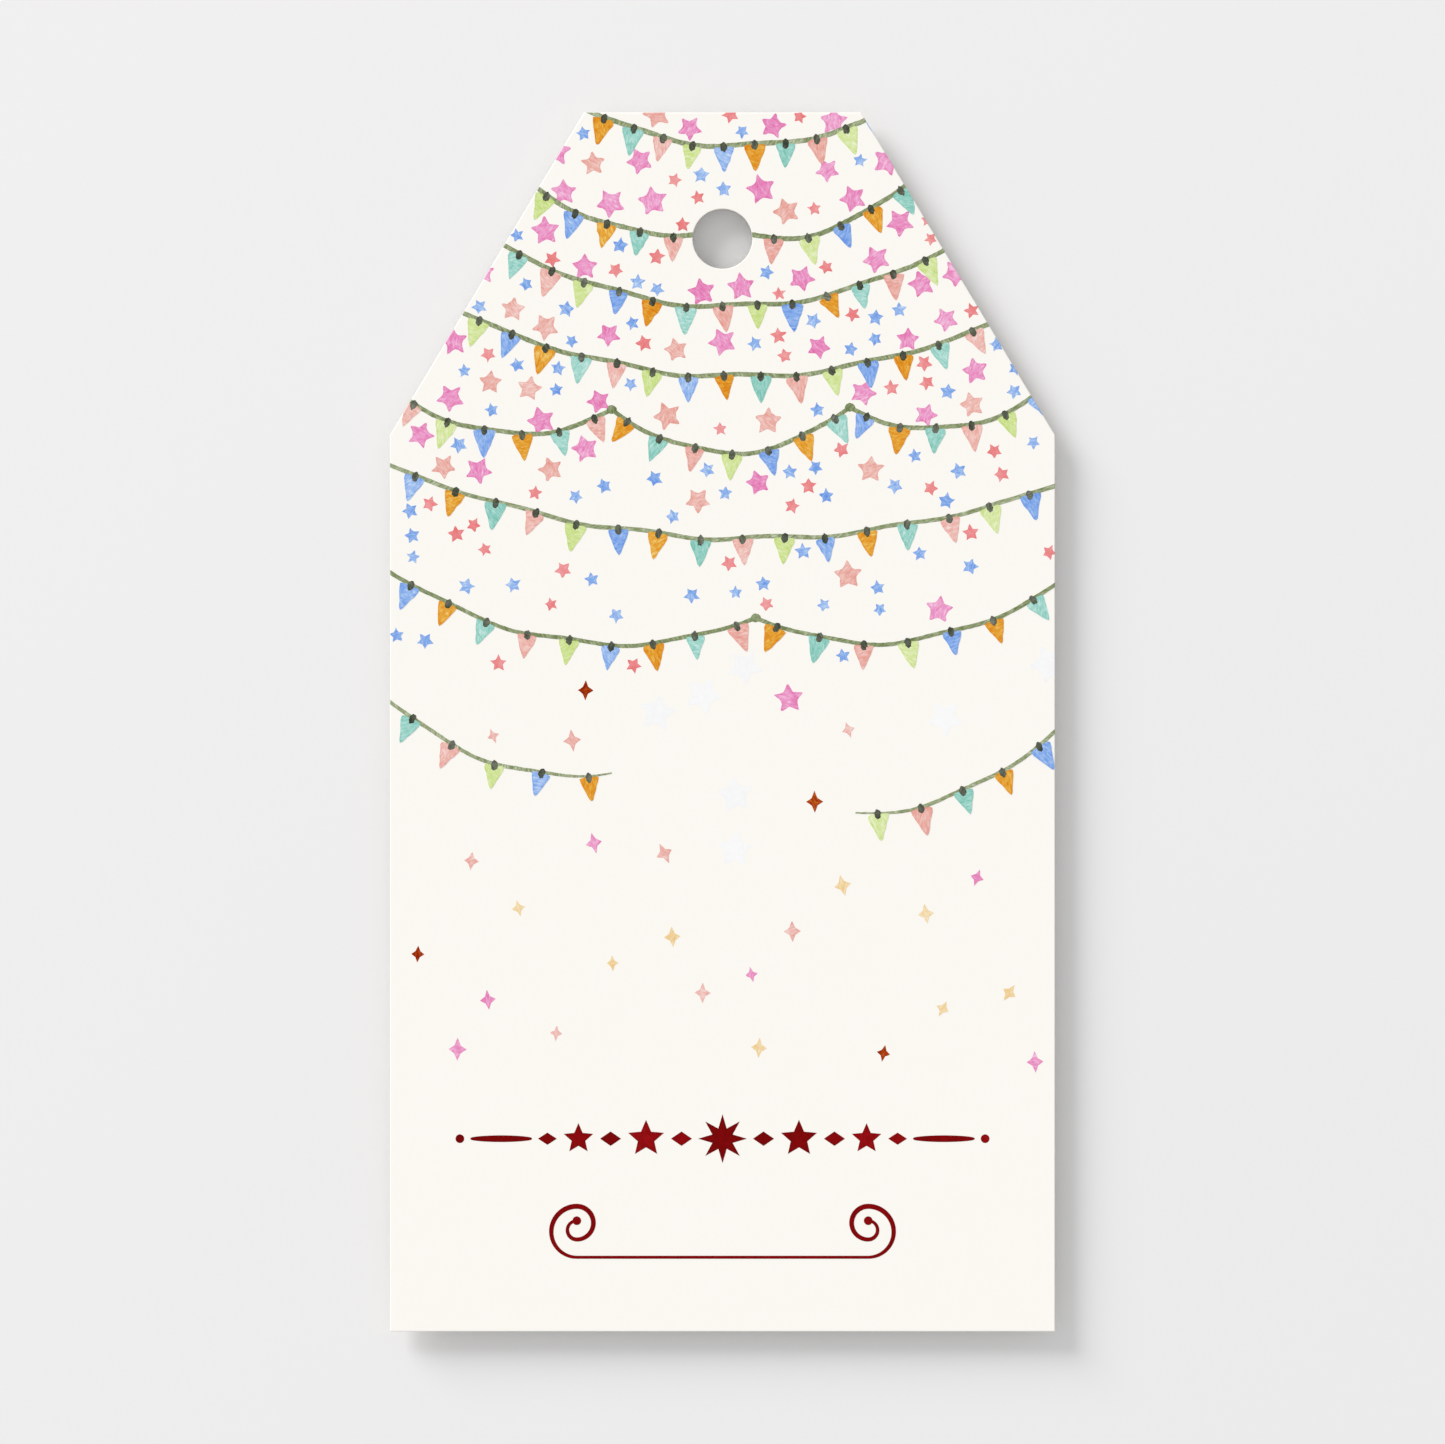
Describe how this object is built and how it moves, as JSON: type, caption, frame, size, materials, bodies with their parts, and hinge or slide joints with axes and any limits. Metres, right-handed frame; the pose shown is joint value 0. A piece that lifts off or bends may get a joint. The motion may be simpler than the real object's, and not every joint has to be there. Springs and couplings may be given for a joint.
{
  "type": "gift tag",
  "caption": "Flat die-cut gift tag of heavy cream card with slanted shoulders, a square foot and a punched hole for tying it to a parcel with string.",
  "frame": {"origin": "middle of the tag's back face, halfway along its length and across its width", "axes": "+Y along the tag towards the hole end, +Z out of the printed front face, +X to the right of someone reading the front"},
  "size_m": [0.06, 0.11, 0.0005],
  "materials": {
    "card_stock": "smooth matt uncoated card, cream white all through, with a printed front"
  },
  "bodies": {
    "root": {"tag_card": "card_stock"}
  },
  "joints": []
}
